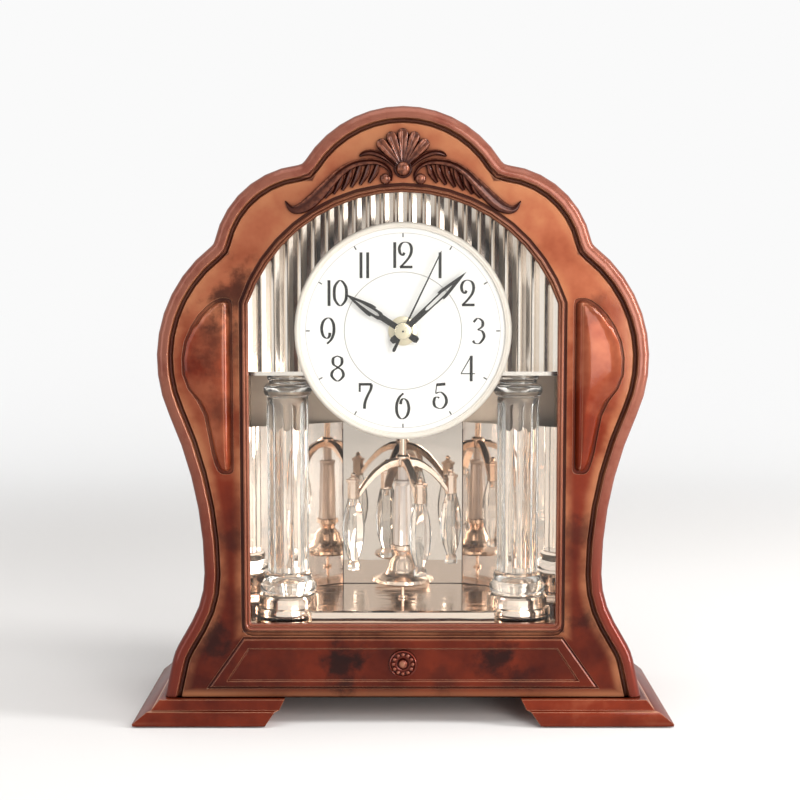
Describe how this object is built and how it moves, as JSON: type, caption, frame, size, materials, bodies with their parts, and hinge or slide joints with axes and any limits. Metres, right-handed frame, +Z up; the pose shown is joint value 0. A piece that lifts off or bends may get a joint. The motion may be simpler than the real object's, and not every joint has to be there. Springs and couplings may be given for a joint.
{
  "type": "desk clock",
  "caption": "Mantel style desk clock with a scalloped case, arched window, round dial with hands, fluted columns, mirrors and a turning pendulum.",
  "frame": {"origin": "on the table, under the middle of the overall box (the feet set it in width and depth)", "axes": "+X to the viewer's right, +Y away from the viewer (the dial faces -Y), +Z up"},
  "size_m": [0.2736, 0.105, 0.311],
  "materials": {
    "case_front": "airbrushed copper and walnut lacquer on moulded plastic",
    "case_ornament": "dark chocolate lacquer, highlights rubbed to copper",
    "case_rear": "plum brown lacquer on moulded plastic",
    "pad_rubber": "matt",
    "screw_steel": "zinc plated",
    "lens_clear": "clear sheet, polished",
    "crystal_clear": "clear moulded, polished",
    "reflector_silver": "vacuum metallised, warm silver",
    "mirror_plate": "polished",
    "dial_white": "matt white print ground",
    "bezel_cream": "cream, satin",
    "hand_black": "black painted stamping",
    "fitting_brass": "polished",
    "rose_gold": "vacuum metallised rose gold",
    "mechanism_black": "moulded",
    "battery_case": "satin sleeve"
  },
  "bodies": {
    "case": {"front_case": "case_front", "side_panel_left": "case_front", "side_panel_right": "case_front", "rosette_ring": "case_front", "rosette_dome": "case_front", "foot_left": "case_front", "foot_right": "case_front", "crest_shell": "case_ornament", "acanthus_left": "case_ornament", "acanthus_right": "case_ornament", "rear_case": "case_rear", "back_cover": "case_rear", "pad_front_left": "pad_rubber", "pad_front_right": "pad_rubber", "pad_rear_left": "pad_rubber", "pad_rear_right": "pad_rubber", "cover_screw_lower_left": "screw_steel", "cover_screw_lower_right": "screw_steel", "cover_screw_upper_left": "screw_steel", "cover_screw_upper_right": "screw_steel", "guide_pin": "screw_steel", "window_lens": "lens_clear", "column_left": "crystal_clear", "column_right": "crystal_clear", "column_base_left": "crystal_clear", "column_base_right": "crystal_clear", "column_capital_left": "crystal_clear", "column_capital_right": "crystal_clear", "reflector_arch": "reflector_silver", "floor_tray": "reflector_silver", "mirror_centre": "mirror_plate", "mirror_wing_left": "mirror_plate", "mirror_wing_right": "mirror_plate", "dial": "dial_white", "dial_bezel": "bezel_cream", "dial_washer": "fitting_brass", "post_nut": "fitting_brass", "movement_well": "mechanism_black", "movement_case": "mechanism_black", "pendulum_drive": "mechanism_black", "pendulum_bush": "mechanism_black", "battery": "battery_case"},
    "access_door": {"access_door": "case_rear"},
    "setting_knob": {"setting_knob": "mechanism_black"},
    "hour_hand": {"hour_hand": "hand_black"},
    "minute_hand": {"minute_hand": "hand_black"},
    "second_hand": {"second_hand": "hand_black", "hand_cap": "fitting_brass"},
    "pendulum": {"pendulum_rod": "screw_steel", "pendulum_crown": "rose_gold", "pendulum_column": "crystal_clear", "pendulum_base": "rose_gold", "pendant_1": "crystal_clear", "pendant_2": "crystal_clear", "pendant_3": "crystal_clear", "pendant_4": "crystal_clear", "pendant_cap_1": "rose_gold", "pendant_cap_2": "rose_gold", "pendant_cap_3": "rose_gold", "pendant_cap_4": "rose_gold"}
  },
  "joints": [
    {"name": "setting_knob_turn", "type": "hinge", "parent": "case", "child": "setting_knob", "pos_m": [0, 0, 0.1995], "axis": [0, 1, 0], "continuous": true},
    {"name": "minute_hand_spin", "type": "hinge", "parent": "case", "child": "minute_hand", "pos_m": [0, 0, 0.1995], "axis": [0, 1, 0], "continuous": true},
    {"name": "hour_hand_spin", "type": "hinge", "parent": "case", "child": "hour_hand", "pos_m": [0, 0, 0.1995], "axis": [0, 1, 0], "continuous": true},
    {"name": "second_hand_spin", "type": "hinge", "parent": "case", "child": "second_hand", "pos_m": [0, 0, 0.1995], "axis": [0, 1, 0], "continuous": true},
    {"name": "pendulum_spin", "type": "hinge", "parent": "case", "child": "pendulum", "pos_m": [0, 0.0005, 0.1], "axis": [0, 0, 1], "continuous": true},
    {"name": "access_door_hinge", "type": "hinge", "parent": "case", "child": "access_door", "pos_m": [0, 0.0476, 0.162], "axis": [-1, 0, 0], "range_deg": [0, 95]}
  ],
  "couplings": [
    {"joint": "setting_knob_turn", "follows": "minute_hand_spin", "ratio": 1},
    {"joint": "hour_hand_spin", "follows": "minute_hand_spin", "ratio": 0.083333}
  ]
}
